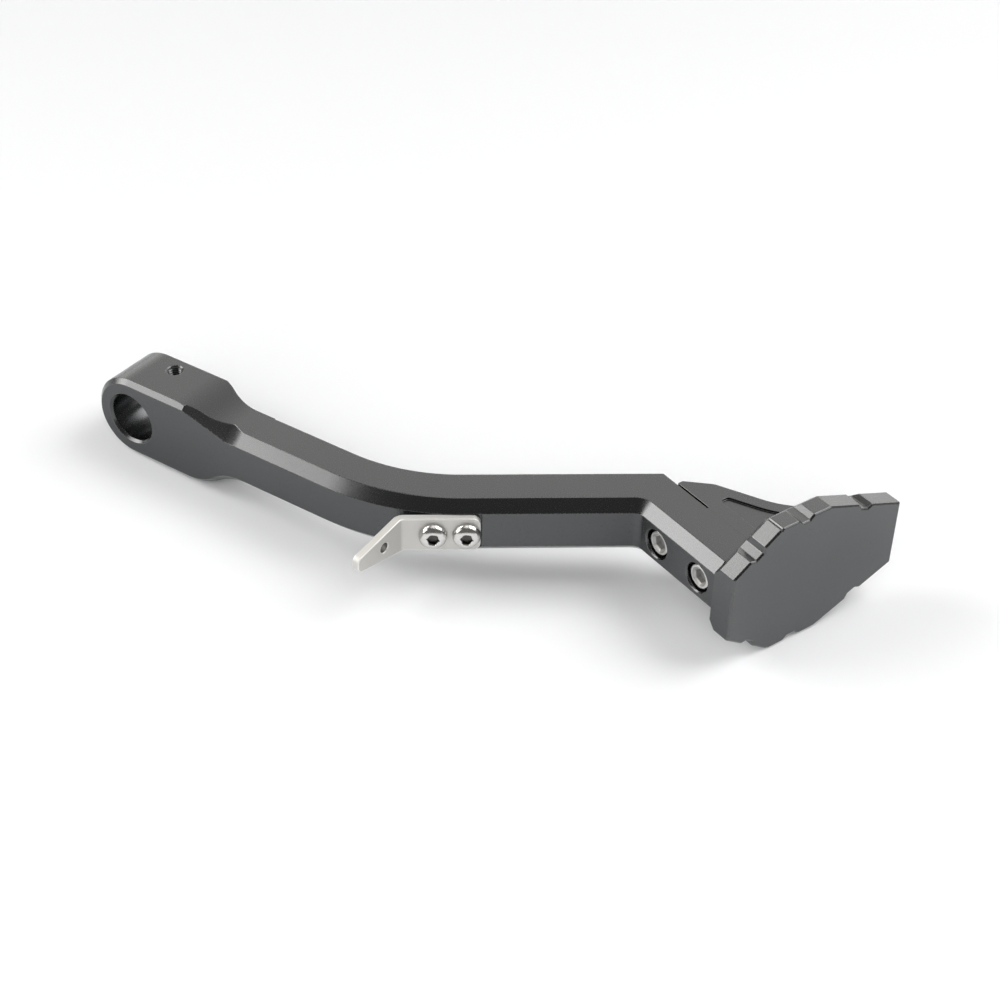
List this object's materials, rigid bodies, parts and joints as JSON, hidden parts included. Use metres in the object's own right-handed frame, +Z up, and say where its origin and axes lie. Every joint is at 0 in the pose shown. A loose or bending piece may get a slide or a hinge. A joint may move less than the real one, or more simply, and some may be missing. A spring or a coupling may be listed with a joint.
{
  "type": "motorbike side stand",
  "caption": "Dog-leg side stand arm with a pivot eye, broad edge chamfers, a bolted foot with a notched ground plate and a folded spring bracket.",
  "frame": {"origin": "on the pivot axis, in the middle of the eye's depth", "axes": "+Y along the pivot bore towards the back of the arm, +X along the first leg from the eye towards the foot, +Z up across the arm's flat top face"},
  "size_m": [0.2905, 0.135, 0.055],
  "materials": {
    "arm_anodised": "satin dark grey anodised",
    "foot_anodised": "satin dark grey anodised",
    "stainless": "polished stainless",
    "bracket_silver": "satin silver anodised"
  },
  "bodies": {
    "root": {"pivot_eye": "arm_anodised", "stand_arm": "arm_anodised", "foot": "foot_anodised", "foot_screws": "stainless", "spring_bracket": "bracket_silver", "bracket_screws": "stainless"}
  },
  "joints": []
}
